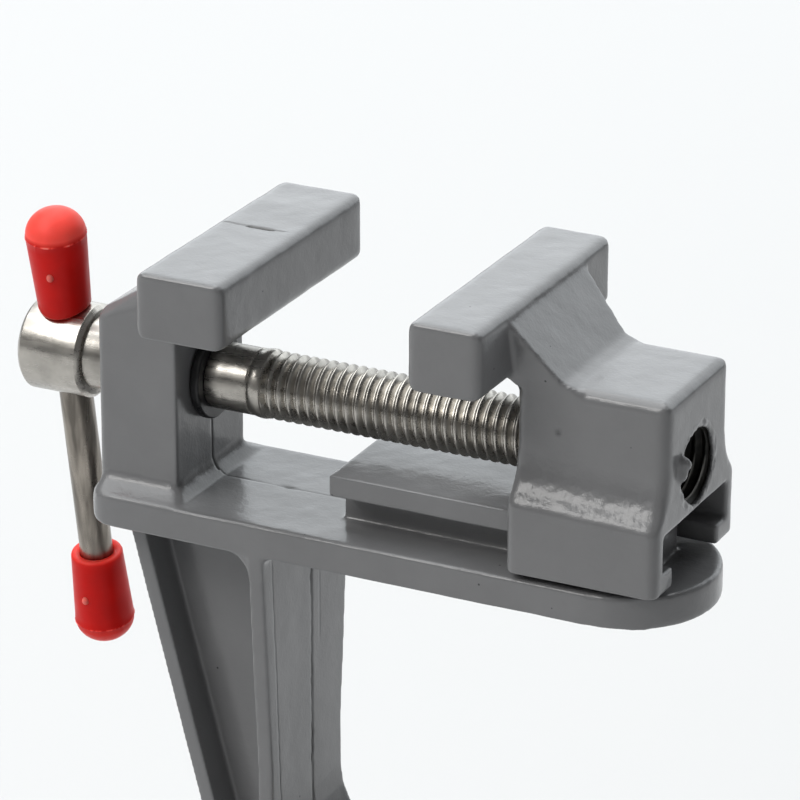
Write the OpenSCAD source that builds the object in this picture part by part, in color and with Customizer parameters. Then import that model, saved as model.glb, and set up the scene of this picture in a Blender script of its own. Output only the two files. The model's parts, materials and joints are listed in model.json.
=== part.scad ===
// Clamp-on table vise. Millimetres.
// The origin is where the clamp screw's axis meets the face that rests on the table, under the beam.
// +X points from the fixed jaw to the moving jaw, +Z is up, and Y = 0 is the mirror plane of the castings.

/* [Jaws] */
// Width of both jaws
jaw_w = 35; // [30:0.5:45]
// Height of the jaw tops above the beam
jaw_top = 31.1; // [29:0.1:40]
// Gap between the jaws as the vise stands
jaw_gap = 22.7; // [18:0.1:28]
// Widest gap that the jaws open to
jaw_gap_max = 30; // [28:0.5:34]
// Thickness of the fixed jaw, along X
fixed_jaw_t = 11.2; // [9:0.1:14]
// Height of the fixed jaw
fixed_jaw_h = 7.9; // [6:0.1:9]
// Thickness of the moving jaw's plate, along X
moving_jaw_t = 9; // [7:0.1:12]
// Height of the moving jaw's plate
moving_jaw_h = 8.1; // [7:0.1:9]
// Rounding of the jaws' long edges
jaw_round = 1.1; // [0.4:0.1:2]

/* [Post] */
// Width of the post that carries the fixed jaw
post_w = 16.4; // [14:0.1:20]
// Thickness of the post, along X
post_t = 10.4; // [8:0.1:14]
// How far the post's ridge lies below the jaw tops, at the back
post_drop = 9.7; // [8:0.1:12]
// Width of that ridge
post_ridge_w = 13; // [9:0.1:15]
// How far the post's side edges lie below its ridge, at the back
post_shoulder = 1.1; // [0.5:0.1:3]
// Rounding of the post's upright edges
post_round = 1; // [0.4:0.1:2]

/* [Beam] */
// Width of the beam
beam_w = 22; // [20:0.5:28]
// Thickness of the beam
beam_t = 4; // [3:0.1:6]
// Distance from the clamp screw's axis to the beam's round end
beam_reach = 31.8; // [28:0.1:45]
// How far the beam stands out behind the post
beam_tail = 0.6; // [0.2:0.1:3]
// Corner radius of the beam's square end
beam_corner = 3; // [1:0.5:6]

/* [Rail] */
// Width of the rail's head
rail_w = 16.8; // [14:0.1:18]
// Thickness of the rail's head
rail_head_t = 2.6; // [2:0.1:3]
// Width of the rail's neck
rail_neck_w = 8.9; // [6:0.1:11]
// Height of the rail above the beam
rail_h = 6.9; // [6:0.1:8]
// Distance from the fixed jaw's face to the start of the rail
rail_start = 8.6; // [6:0.1:12]
// Length of the rail
rail_l = 37.6; // [32:0.1:42]

/* [Moving jaw] */
// Length of the jaw's block, along X
block_l = 18.3; // [15:0.1:24]
// Width of the jaw's block
block_w = 17.4; // [14:0.1:20]
// Rounding of the block's edges
block_round = 1.4; // [0.4:0.1:1.6]
// How far the block's front lies behind the plate's back
block_step = 0.2; // [0.2:0.1:2]
// Depth of the block's top below the jaw tops
block_drop = 8.2; // [8.2:0.1:9]
// Length of the gusset between plate and block
gusset_l = 5.8; // [4:0.1:9]
// Width of the gusset at the top of the plate
gusset_w = 21.2; // [18:0.1:26]
// Width of the skirt that runs along the rail
skirt_w = 22.6; // [21:0.1:28]
// Depth of the skirt's top below the jaw tops
skirt_drop = 22.4; // [21:0.1:23]
// Rounding of the skirt's shoulders
skirt_round = 1.4; // [0.5:0.1:2]
// Rounding of the skirt's upright edges
skirt_corner = 1.2; // [0.4:0.1:1.6]
// Height of the slope from the skirt's shoulders up to the block's sides
ledge_h = 3.4; // [1:0.1:4]
// Clearance between the skirt and the beam
skirt_gap = 0.7; // [0.3:0.1:1]
// Clearance between the rail's sides and the channel
channel_side_gap = 0.5; // [0.2:0.05:0.8]
// Clearance between the rail's top and the channel
channel_gap = 0.6; // [0.2:0.05:0.8]
// Clearance between the rail's head and the lips under it
lip_gap = 1.2; // [0.2:0.05:1.5]
// Clearance between the rail's neck and the lips beside it
neck_gap = 1.75; // [0.2:0.05:2]

/* [Spine and lower arm] */
// Distance from the throat's face to the clamp screw's axis
throat_d = 19.7; // [16:0.1:30]
// How far the fixed jaw's face lies behind the throat's face
jaw_setback = 1.3; // [0.5:0.1:3]
// Height of the throat, from the table's face to the lower arm
throat_h = 44; // [40:0.5:60]
// Thickness of the two flanges of the spine
flange_t = 1.9; // [1.5:0.1:3]
// Width of the throat's flange at its waist
waist_w = 18; // [14:0.1:22]
// Depth of that waist below the table's face
waist_drop = 28; // [20:0.5:40]
// Thickness of the web between the flanges
web_t = 3; // [2:0.1:5]
// Width of the back flange
back_flange_w = 12; // [10:0.1:18]
// How far the back flange's top lies in front of the post's back
back_inset = 2.2; // [0.5:0.1:4]
// Slant of the back flange, in degrees from upright
back_slant = 14.7; // [8:0.1:16]
// Inner radius of the throat's lower corner
throat_r = 9; // [4:0.5:10]
// Outer radius of the heel, where the spine turns into the arm
heel_r = 16; // [12:0.5:20]
// Thickness of the lower arm
arm_t = 10; // [8:0.1:14]
// Diameter of the boss around the clamp screw
boss_d = 17; // [14:0.5:22]

/* [Lead screw] */
// Thread diameter of both screws
thread_d = 8; // [7:0.1:9]
// Thread pitch of both screws
pitch = 1.25; // [1:0.05:1.5]
// Depth of the thread
thread_depth = 0.7; // [0.4:0.05:0.9]
// Height of the lead screw's axis above the beam
screw_h = 12.9; // [12:0.1:13.5]
// Diameter of the lead screw's smooth shank
shank_d = 7.9; // [6.6:0.1:8]
// Length of smooth shank in front of the post
shank_l = 8.5; // [4:0.1:10]
// Length of the neck between the post and the head
neck_l = 4.2; // [3:0.1:7]
// Diameter of that neck
neck_d = 8.8; // [8:0.1:10.5]
// Diameter of both screws' heads
head_d = 11.2; // [10.5:0.1:15]
// Length of both screws' heads
head_l = 8.3; // [7:0.1:12]
// Chamfer on the heads
head_chamfer = 0.5; // [0.2:0.1:1]
// Least length of screw in the moving jaw's hole, with the jaws wide open
screw_grip = 5.1; // [4:0.1:7]
// Outer diameter of the retaining ring
ring_d = 10.6; // [9.6:0.1:14]
// Thickness of the retaining ring
ring_t = 1.1; // [0.8:0.1:2.5]
// Depth of the ring's groove in the shank
ring_groove = 0.4; // [0.2:0.05:0.5]

/* [Handle bars and caps] */
// Diameter of both handle bars
bar_d = 4; // [3:0.1:5]
// How far a handle bar slides through its head
bar_travel = 23.1; // [15:0.5:30]
// Depth of the bar's end in a cap
cap_grip = 9; // [6:0.5:10]
// Length of a cap
cap_l = 13; // [12:0.1:18]
// Diameter of a cap at the foot of its crown
cap_d = 7.2; // [6.8:0.1:9]
// Diameter of a cap at its mouth
cap_mouth_d = 6.3; // [6:0.1:6.8]
// Height of a cap's crown
crown_h = 3.6; // [2.5:0.1:4]
// Tilt of the lead screw's handle bar from upright, in degrees
handle_tilt = 9.8; // [0:0.1:45]

/* [Table clamp] */
// Clearance between the pad's hub and the lower arm, with the clamp wide open
arm_gap = 1.4; // [0.4:0.1:4]
// Diameter of the clamp pad
pad_d = 18; // [14:0.5:22]
// Thickness of the clamp pad's plate
pad_t = 2.4; // [2.2:0.1:3]
// Diameter of the pad's hub
hub_d = 10.4; // [9:0.1:12]
// Height of the pad's hub
hub_h = 2.2; // [1.5:0.1:2.4]
// Diameter of the clamp screw's tip, which carries the pad
tip_d = 4; // [3.4:0.1:5]
// Diameter of the peened head that holds the pad on
peen_d = 6; // [5.6:0.1:6.4]
// Thickness of the peened head
peen_t = 0.9; // [0.6:0.1:1]

/* [Fits] */
// Radial clearance of a shaft in its bore
run_fit = 0.1; // [0.02:0.01:0.1]
// Clearance between faces that turn or slide against each other
face_gap = 0.15; // [0.05:0.05:0.3]
// Radial clearance of a handle bar in its cap
cap_fit = 0.03; // [0.01:0.01:0.05]
// Gap that is left under the clamp and between the jaws when they are closed
closed_gap = 0.1; // [0.05:0.05:0.3]

/* [Hidden] */
$fn = 48;
over = 1;
arc_steps = 6;

fixed_face_x = -throat_d - jaw_setback;
moving_face_x = fixed_face_x + jaw_gap;
jaw_top_z = beam_t + jaw_top;
fixed_back_x = fixed_face_x - fixed_jaw_t;
post_back_x = fixed_back_x - post_t;
post_top_z = jaw_top_z - post_drop;
beam_back_x = post_back_x - beam_tail;
gusset_sink = jaw_round * 2;
post_ridge_rise_share = 0.65;
post_side_rise_share = 0.44;

rail_x = fixed_face_x + rail_start;
rail_top_z = beam_t + rail_h;
rail_under_z = rail_top_z - rail_head_t;

plate_back_x = moving_face_x + moving_jaw_t;
block_x = plate_back_x + block_step;
block_end_x = block_x + block_l;
plate_under_z = jaw_top_z - moving_jaw_h;
block_top_z = jaw_top_z - block_drop;
skirt_top_z = jaw_top_z - skirt_drop;
ledge_top_z = skirt_top_z + ledge_h;
skirt_under_z = beam_t + skirt_gap;
channel_w = rail_w + 2 * channel_side_gap;
channel_neck_w = rail_neck_w + 2 * neck_gap;
channel_top_z = rail_top_z + channel_gap;
lip_top_z = rail_under_z - lip_gap;

screw_z = beam_t + screw_h;
screw_end_x = fixed_face_x + jaw_gap_max + moving_jaw_t + block_step + screw_grip;
neck_x = post_back_x - neck_l;
head_x = neck_x - head_l;
handle_x = head_x + head_l / 2;
ring_x = fixed_back_x + face_gap;
thread_x = fixed_back_x + shank_l;

cap_seat = head_d / 2 + closed_gap;
bar_open_l = 2 * cap_seat + bar_travel;
bar_l = bar_open_l + 2 * cap_grip;

arm_top_z = -throat_h;
arm_under_z = -throat_h - arm_t;
hub_under_z = arm_top_z + arm_gap;
pad_top_z = hub_under_z + hub_h + pad_t;
peen_top_z = pad_top_z - 2 * face_gap;
clamp_lift = -pad_top_z - closed_gap;
clamp_head_z = arm_under_z - clamp_lift - neck_l / 2;
clamp_bar_z = clamp_head_z - head_l / 2;

// Points on an arc, from one angle to another
function arc(x, y, r, from, to) =
    [for (i = [0:arc_steps]) let (a = from + (to - from) * i / arc_steps) [x + r * cos(a), y + r * sin(a)]];

// A rectangle with its four corners rounded
function round_box(x0, y0, x1, y1, r) = concat(
    arc(x1 - r, y1 - r, r, 0, 90),
    arc(x0 + r, y1 - r, r, 90, 180),
    arc(x0 + r, y0 + r, r, 180, 270),
    arc(x1 - r, y0 + r, r, 270, 360));

// An outline in X and Z, made w wide across the mirror plane
module across(w) {
    rotate([90, 0, 0]) linear_extrude(height = w, center = true) children();
}

// An outline in Y and Z, made to run along X from x0 to x1
module along(x0, x1) {
    translate([x0, 0, 0]) rotate([90, 0, 90]) linear_extrude(height = x1 - x0) children();
}

// An outline in X and Y, made to stand from z0 to z1
module upright(z0, z1) {
    translate([0, 0, z0]) linear_extrude(height = z1 - z0) children();
}

// A bar for a jaw, rounded along all its edges
module jaw_bar(x0, x1, z0, z1) {
    intersection() {
        across(jaw_w) polygon(round_box(x0, z0, x1, z1, jaw_round));
        upright(z0 - over, z1 + over)
            polygon(round_box(x0, -jaw_w / 2, x1, jaw_w / 2, jaw_round));
    }
}

// A threaded length of a screw from 0 up Z: one groove a pitch, with a lead-in at each end
module threads(length) {
    turns = floor(length / pitch);
    r = thread_d / 2;
    root = r - thread_depth;
    step = length / turns;
    rotate_extrude() polygon(concat(
        [[0, 0]],
        [for (i = [0:turns - 1], p = [[root, 0], [r, 0.42], [r, 0.58]]) [p[0], (i + p[1]) * step]],
        [[root, length], [0, length]]));
}

// A screw's head from 0 up Z, with its cross hole along Y
module screw_head() {
    r = head_d / 2;
    difference() {
        rotate_extrude() polygon([[0, 0], [r - head_chamfer, 0], [r, head_chamfer],
            [r, head_l - head_chamfer], [r - head_chamfer, head_l], [0, head_l]]);
        translate([0, 0, head_l / 2]) rotate([90, 0, 0])
            cylinder(h = head_d + 2 * over, r = bar_d / 2 + run_fit, center = true);
    }
}

// A handle bar along Z, with the middle of its open length at 0
module plain_bar() {
    r = bar_d / 2;
    c = r / 5;
    rotate_extrude() polygon([[0, -bar_l / 2], [r - c, -bar_l / 2], [r, c - bar_l / 2],
        [r, bar_l / 2 - c], [r - c, bar_l / 2], [0, bar_l / 2]]);
}

// A cap from its mouth at 0 up Z
module plain_cap() {
    rim = cap_l - crown_h;
    bore = bar_d / 2 + cap_fit;
    rotate_extrude() polygon(concat(
        [[bore, 0], [cap_mouth_d / 2, 0]],
        [for (i = [0:arc_steps]) let (a = 90 * i / arc_steps)
            [cap_d / 2 * cos(a), rim + crown_h * sin(a)]],
        [[0, cap_grip + cap_fit], [bore, cap_grip + cap_fit]]));
}

// Places its children on the lead screw's handle bar, with Z along the bar
module on_handle() {
    translate([handle_x, 0, screw_z]) rotate([handle_tilt, 0, 0])
        translate([0, 0, cap_seat - bar_open_l / 2]) children();
}

// Places its children on the clamp screw's bar, with Z along the bar, to +Y
module on_clamp_bar() {
    translate([0, 0, clamp_bar_z]) rotate([-90, 0, 0]) children();
}

// A thin slice across the post's sloping top, at x
module post_slice(x, side_z, ridge_z) {
    along(x, x + over) polygon([
        [-post_w / 2, side_z - post_shoulder], [-post_w / 2, side_z], [-post_ridge_w / 2, ridge_z],
        [post_ridge_w / 2, ridge_z], [post_w / 2, side_z], [post_w / 2, side_z - post_shoulder]]);
}

module post() {
    side_back_z = post_top_z - post_shoulder;
    side_front_z = side_back_z + post_t * post_side_rise_share;
    ridge_front_z = post_top_z + post_t * post_ridge_rise_share;
    intersection() {
        union() {
            across(post_w) polygon([
                [post_back_x, beam_t - over], [fixed_back_x, beam_t - over],
                [fixed_back_x, jaw_top_z - fixed_jaw_h],
                [fixed_back_x + gusset_sink, jaw_top_z - fixed_jaw_h + gusset_sink],
                [fixed_back_x + gusset_sink, jaw_top_z - jaw_round], [fixed_back_x, jaw_top_z - jaw_round],
                [fixed_back_x, side_front_z], [post_back_x, side_back_z]]);
            hull() {
                post_slice(post_back_x, side_back_z, post_top_z);
                post_slice(fixed_back_x, side_front_z, ridge_front_z);
            }
        }
        upright(0, jaw_top_z) union() {
            polygon(round_box(post_back_x, -post_w / 2, fixed_back_x, post_w / 2, post_round));
            translate([fixed_back_x - post_t / 2, -post_w / 2]) square([post_t, post_w]);
        }
    }
}

module beam() {
    upright(0, beam_t) union() {
        polygon(round_box(beam_back_x, -beam_w / 2, 0, beam_w / 2, beam_corner));
        translate([-throat_d, -beam_w / 2]) square([throat_d + beam_reach - beam_w / 2, beam_w]);
        translate([beam_reach - beam_w / 2, 0]) circle(d = beam_w);
    }
}

module rail() {
    along(rail_x, rail_x + rail_l) union() {
        translate([-rail_neck_w / 2, beam_t - over]) square([rail_neck_w, rail_h]);
        translate([-rail_w / 2, rail_under_z]) square([rail_w, rail_head_t]);
    }
}

// Outline of the throat's face down to the arm, moved into the metal by depth
function throat_line(depth) = concat(
    [[-throat_d - depth, over]],
    arc(-throat_d + throat_r, arm_top_z + throat_r, throat_r + depth, 180, 270),
    [[0, arm_top_z - depth]]);

// Outline of the spine's back and heel, moved into the metal by depth
function back_line(depth) =
    let (top_x = post_back_x + back_inset,
         run = (-arm_under_z - heel_r + heel_r * sin(back_slant)) / cos(back_slant),
         heel_x = top_x + run * sin(back_slant) + heel_r * cos(back_slant),
         r = heel_r - depth)
    concat(
        [[top_x + (depth - over * sin(back_slant)) / cos(back_slant), over]],
        arc(heel_x, arm_under_z + heel_r, r, 180 + back_slant, 270),
        [[0, arm_under_z + depth]]);

function reversed(points) = [for (i = [len(points) - 1:-1:0]) points[i]];

module spine() {
    intersection() {
        union() {
            across(web_t) polygon(concat(throat_line(0), reversed(back_line(0))));
            across(back_flange_w) polygon(concat(back_line(flange_t), reversed(back_line(0))));
            intersection() {
                across(beam_w) polygon(concat(throat_line(0), reversed(throat_line(flange_t))));
                upright(arm_under_z, over) polygon([
                    [-throat_d - 2 * flange_t, -beam_w / 2], [throat_r - throat_d, -beam_w / 2],
                    [0, -boss_d / 2], [0, boss_d / 2],
                    [throat_r - throat_d, beam_w / 2], [-throat_d - 2 * flange_t, beam_w / 2]]);
                along(beam_back_x, 0) polygon([
                    [-beam_w / 2, over], [-beam_w / 2, 0], [-waist_w / 2, -waist_drop],
                    [-waist_w / 2, arm_under_z], [waist_w / 2, arm_under_z],
                    [waist_w / 2, -waist_drop], [beam_w / 2, 0], [beam_w / 2, over]]);
            }
        }
        upright(arm_under_z, beam_t / 2)
            translate([beam_back_x, -beam_w / 2]) square([-beam_back_x, beam_w]);
    }
    upright(arm_under_z, arm_top_z) circle(d = boss_d);
}

module body_casting() {
    color("#8d9094") difference() {
        union() {
            beam();
            rail();
            post();
            jaw_bar(fixed_back_x, fixed_face_x, jaw_top_z - fixed_jaw_h, jaw_top_z);
            spine();
        }
        translate([post_back_x - over, 0, screw_z]) rotate([0, 90, 0])
            cylinder(h = post_t + 2 * over, r = shank_d / 2 + run_fit);
        translate([0, 0, arm_under_z - over]) cylinder(h = arm_t + 2 * over, r = thread_d / 2 + run_fit);
    }
}

module moving_jaw() {
    gusset_foot = plate_back_x + gusset_l;
    blend = gusset_l / 4;
    slope = block_drop / gusset_l;
    color("#8d9094") difference() {
        union() {
            jaw_bar(moving_face_x, plate_back_x, plate_under_z, jaw_top_z);
            intersection() {
                across(gusset_w) polygon([
                    [plate_back_x - gusset_sink, jaw_top_z - jaw_round], [plate_back_x, jaw_top_z - jaw_round],
                    [gusset_foot - blend, block_top_z + blend * slope], [gusset_foot, block_top_z + blend / 3],
                    [gusset_foot + blend, block_top_z], [gusset_foot + blend, block_top_z - over],
                    [block_x, block_top_z - over], [plate_back_x - gusset_sink, plate_under_z + jaw_round]]);
                along(plate_back_x - gusset_sink, gusset_foot + blend) polygon([
                    [-block_w / 2, block_top_z - over], [-block_w / 2, block_top_z],
                    [-gusset_w / 2, jaw_top_z], [gusset_w / 2, jaw_top_z],
                    [block_w / 2, block_top_z], [block_w / 2, block_top_z - over]]);
            }
            intersection() {
                along(block_x, block_end_x)
                    polygon(round_box(-block_w / 2, skirt_under_z, block_w / 2, block_top_z, block_round));
                across(block_w) polygon(round_box(block_x, skirt_under_z - block_l, block_end_x, block_top_z,
                    block_round));
                upright(skirt_under_z, block_top_z)
                    polygon(round_box(block_x, -block_w / 2, block_end_x, block_w / 2, block_round));
            }
            intersection() {
                along(block_x, block_end_x) polygon(concat(
                    [[-skirt_w / 2, skirt_under_z], [skirt_w / 2, skirt_under_z]],
                    arc(skirt_w / 2 - skirt_round, skirt_top_z - skirt_round, skirt_round, 0, 60),
                    [[block_w / 2 - over, ledge_top_z], [over - block_w / 2, ledge_top_z]],
                    arc(skirt_round - skirt_w / 2, skirt_top_z - skirt_round, skirt_round, 120, 180)));
                upright(skirt_under_z, ledge_top_z)
                    polygon(round_box(block_x, -skirt_w / 2, block_end_x, skirt_w / 2, skirt_corner));
            }
        }
        translate([block_x - over, 0, screw_z]) rotate([0, 90, 0])
            cylinder(h = block_l + 2 * over, r = thread_d / 2 + run_fit);
        along(block_x - over, block_end_x + over) union() {
            translate([-channel_w / 2, lip_top_z]) square([channel_w, channel_top_z - lip_top_z]);
            translate([-channel_neck_w / 2, skirt_under_z - over])
                square([channel_neck_w, lip_top_z - skirt_under_z + 2 * over]);
        }
    }
}

module main_screw() {
    thread_l = screw_end_x - thread_x;
    shank_r = shank_d / 2;
    groove_r = shank_r - ring_groove;
    neck_end = neck_l - face_gap;
    ring_at = ring_x - neck_x - face_gap / 2;
    groove_l = ring_t + face_gap;
    color("#b9b5ae") translate([head_x, 0, screw_z]) rotate([0, 90, 0]) {
        rotate([0, 0, 90 + handle_tilt]) screw_head();
        translate([0, 0, head_l]) rotate_extrude() polygon([
            [0, -head_chamfer], [neck_d / 2, -head_chamfer], [neck_d / 2, neck_end], [shank_r, neck_end],
            [shank_r, ring_at], [groove_r, ring_at], [groove_r, ring_at + groove_l],
            [shank_r, ring_at + groove_l], [shank_r, thread_x - neck_x],
            [0, thread_x - neck_x]]);
        translate([0, 0, thread_x - head_x]) threads(thread_l);
    }
}

module retaining_ring() {
    r = ring_d / 2;
    bore = shank_d / 2 - ring_groove + run_fit / 2;
    lip = ring_t / 4;
    color("#1a1a1b") translate([ring_x, 0, screw_z]) rotate([0, 90, 0]) rotate_extrude() polygon(concat(
        [[bore, 0]],
        arc(r - lip, lip, lip, 270, 360),
        arc(r - lip, ring_t - lip, lip, 0, 90),
        [[bore, ring_t]]));
}

module handle_bar() {
    color("#b9b5ae") on_handle() plain_bar();
}

module handle_cap_top() {
    color("#c8201f") on_handle() translate([0, 0, bar_open_l / 2]) plain_cap();
}

module handle_cap_bottom() {
    color("#c8201f") on_handle() mirror([0, 0, 1]) translate([0, 0, bar_open_l / 2]) plain_cap();
}

module clamp_screw() {
    tip_l = hub_h + pad_t - 2 * face_gap;
    shoulder_z = hub_under_z - face_gap;
    relief_l = neck_l / 4;
    color("#b9b5ae") {
        translate([0, 0, peen_top_z - peen_t]) cylinder(h = peen_t, d = peen_d);
        translate([0, 0, shoulder_z - over]) cylinder(h = peen_top_z - shoulder_z + over, d = tip_d);
        translate([0, 0, clamp_head_z + relief_l]) threads(shoulder_z - clamp_head_z - relief_l);
        translate([0, 0, clamp_head_z - head_chamfer])
            cylinder(h = relief_l + 2 * head_chamfer, r = thread_d / 2 - thread_depth);
        translate([0, 0, clamp_head_z - head_l]) screw_head();
    }
}

module clamp_pad() {
    recess_d = peen_d + 4 * face_gap;
    recess_h = peen_t + 3 * face_gap;
    edge = pad_t / 4;
    color("#b9b5ae") difference() {
        translate([0, 0, hub_under_z]) rotate_extrude() polygon([
            [0, 0], [hub_d / 2, 0], [hub_d / 2, hub_h], [pad_d / 2 - edge, hub_h], [pad_d / 2, hub_h + edge],
            [pad_d / 2, hub_h + pad_t - edge], [pad_d / 2 - edge, hub_h + pad_t], [0, hub_h + pad_t]]);
        translate([0, 0, hub_under_z - over]) cylinder(h = hub_h + pad_t + 2 * over, r = tip_d / 2 + run_fit);
        translate([0, 0, pad_top_z - recess_h]) cylinder(h = recess_h + over, d = recess_d);
    }
}

module clamp_bar() {
    color("#b9b5ae") on_clamp_bar() plain_bar();
}

module clamp_cap_left() {
    color("#c8201f") on_clamp_bar() mirror([0, 0, 1]) translate([0, 0, bar_open_l / 2]) plain_cap();
}

module clamp_cap_right() {
    color("#c8201f") on_clamp_bar() translate([0, 0, bar_open_l / 2]) plain_cap();
}

body_casting();
moving_jaw();
main_screw();
retaining_ring();
handle_bar();
handle_cap_top();
handle_cap_bottom();
clamp_screw();
clamp_pad();
clamp_bar();
clamp_cap_left();
clamp_cap_right();
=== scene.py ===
# Clamp-on table vise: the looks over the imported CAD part. Metres, in the part's own frame.
# Helpers take millimetres, as the part's source does, and MM turns them into metres.
import json
import math

import bmesh
import bpy
import numpy as np
from mathutils import Matrix, Vector, noise


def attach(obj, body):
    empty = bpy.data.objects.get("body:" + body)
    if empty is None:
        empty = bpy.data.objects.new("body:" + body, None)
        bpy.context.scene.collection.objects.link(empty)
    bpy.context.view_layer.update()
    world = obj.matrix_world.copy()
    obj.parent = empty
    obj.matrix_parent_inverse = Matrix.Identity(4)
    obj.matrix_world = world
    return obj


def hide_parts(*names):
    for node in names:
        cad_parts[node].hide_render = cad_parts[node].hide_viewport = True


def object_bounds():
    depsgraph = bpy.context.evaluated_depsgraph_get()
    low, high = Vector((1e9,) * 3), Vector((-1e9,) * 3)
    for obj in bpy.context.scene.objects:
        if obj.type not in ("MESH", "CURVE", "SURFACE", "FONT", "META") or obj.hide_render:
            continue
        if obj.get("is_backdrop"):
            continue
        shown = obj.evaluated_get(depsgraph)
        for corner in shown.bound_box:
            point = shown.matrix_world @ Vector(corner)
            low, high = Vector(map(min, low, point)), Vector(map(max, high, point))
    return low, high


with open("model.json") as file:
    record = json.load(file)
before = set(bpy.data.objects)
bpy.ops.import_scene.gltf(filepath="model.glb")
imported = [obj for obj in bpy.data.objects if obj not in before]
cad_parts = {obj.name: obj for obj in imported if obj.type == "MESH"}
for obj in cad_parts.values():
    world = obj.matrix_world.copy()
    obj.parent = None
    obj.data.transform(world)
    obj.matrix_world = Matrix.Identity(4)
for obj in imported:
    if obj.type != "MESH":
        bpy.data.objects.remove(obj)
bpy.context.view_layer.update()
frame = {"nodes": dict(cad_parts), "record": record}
nodes = frame["nodes"]
slots = {m["slot"]: m for m in frame["record"]["materials"]}
MM = 0.001

# Sizes of the part, in millimetres
FIXED_FACE_X, FIXED_BACK_X, POST_BACK_X = -21.0, -32.2, -42.6
BEAM_TOP, JAW_TOP, SCREW_Z = 4.0, 35.1, 16.9
FIXED_JAW_H, POST_HALF, BEAM_HALF = 7.9, 8.2, 11.0
THROAT_X, FLANGE_T = -19.7, 1.9
RAIL_X, RAIL_END, RAIL_NECK_HALF = -12.4, 25.2, 4.45
PLATE_BACK_X, PLATE_UNDER, BLOCK_X, BLOCK_END = 10.7, 27.0, 10.9, 29.2
BLOCK_HALF, TAP_R, MOUTH_DEPTH = 8.7, 4.75, 0.5
THREAD_X, SCREW_END = -23.7, 23.3
HANDLE_X, HANDLE_TILT, CAP_SEAT, OPEN_L = -50.95, 9.8, 5.7, 34.5
PITCH, THREAD_R, THREAD_DEPTH, SHANK_R = 1.25, 4.0, 0.7, 3.95
CAP_L, CAP_R, CAP_MOUTH_R, CROWN_H, CAP_BORE = 13.0, 3.6, 3.15, 3.6, 2.03
CLAMP_BAR_Z, CLAMP_HEAD_Z, CLAMP_THREAD_Z, CLAMP_THREAD_L, CLAMP_TIP_Z = -98.15, -94.0, -93.2, 50.0, -43.2

# Points of a cap's section between which the mould seam lies
SEAM_FROM, SEAM_TO = 18, 21
# How far the floor reaches out from the middle
FLOOR_HALF = 4000


def set_inputs(shader, **values):
    for name, value in values.items():
        shader.inputs[name.replace("_", " ")].default_value = value


def new_material(name, slot):
    mat = bpy.data.materials.new(name)
    mat.use_nodes = True
    tree = mat.node_tree
    shader = tree.nodes["Principled BSDF"]
    shader.inputs["Base Color"].default_value = (*slots[slot]["base_color"], 1)
    coord = tree.nodes.new("ShaderNodeTexCoord")
    return mat, tree, shader, coord.outputs["Object"]


def add_noise(tree, coord, scale, detail=2.0, rough=0.5, stretch=(1, 1, 1)):
    mapping = tree.nodes.new("ShaderNodeMapping")
    mapping.inputs["Scale"].default_value = stretch
    tree.links.new(coord, mapping.inputs["Vector"])
    node = tree.nodes.new("ShaderNodeTexNoise")
    node.inputs["Scale"].default_value = scale
    node.inputs["Detail"].default_value = detail
    node.inputs["Roughness"].default_value = rough
    tree.links.new(mapping.outputs["Vector"], node.inputs["Vector"])
    return node.outputs["Fac"]


def add_ramp(tree, value, stops):
    node = tree.nodes.new("ShaderNodeValToRGB")
    ramp = node.color_ramp
    while len(ramp.elements) < len(stops):
        ramp.elements.new(0.5)
    for element, (pos, color) in zip(ramp.elements, stops):
        element.position = pos
        element.color = (*color, 1)
    tree.links.new(value, node.inputs["Fac"])
    return node.outputs["Color"]


def multiplied(tree, first, second):
    mix = tree.nodes.new("ShaderNodeMix")
    mix.data_type = "RGBA"
    mix.blend_type = "MULTIPLY"
    mix.inputs["Factor"].default_value = 1
    tree.links.new(first, mix.inputs["A"])
    tree.links.new(second, mix.inputs["B"])
    return mix.outputs["Result"]


def add_attribute(tree, name):
    node = tree.nodes.new("ShaderNodeAttribute")
    node.attribute_name = name
    return node.outputs["Fac"]


def add_bump(tree, shader, heights):
    """heights is a list of (socket, distance in metres, strength); the last one feeds the shader."""
    normal = None
    for value, distance, strength in heights:
        node = tree.nodes.new("ShaderNodeBump")
        node.inputs["Distance"].default_value = distance
        node.inputs["Strength"].default_value = strength
        tree.links.new(value, node.inputs["Height"])
        if normal:
            tree.links.new(normal, node.inputs["Normal"])
        normal = node.outputs["Normal"]
    tree.links.new(normal, shader.inputs["Normal"])
    tree.links.new(normal, shader.inputs["Coat Normal"])


def grey(v):
    return (v, v, v)


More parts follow.
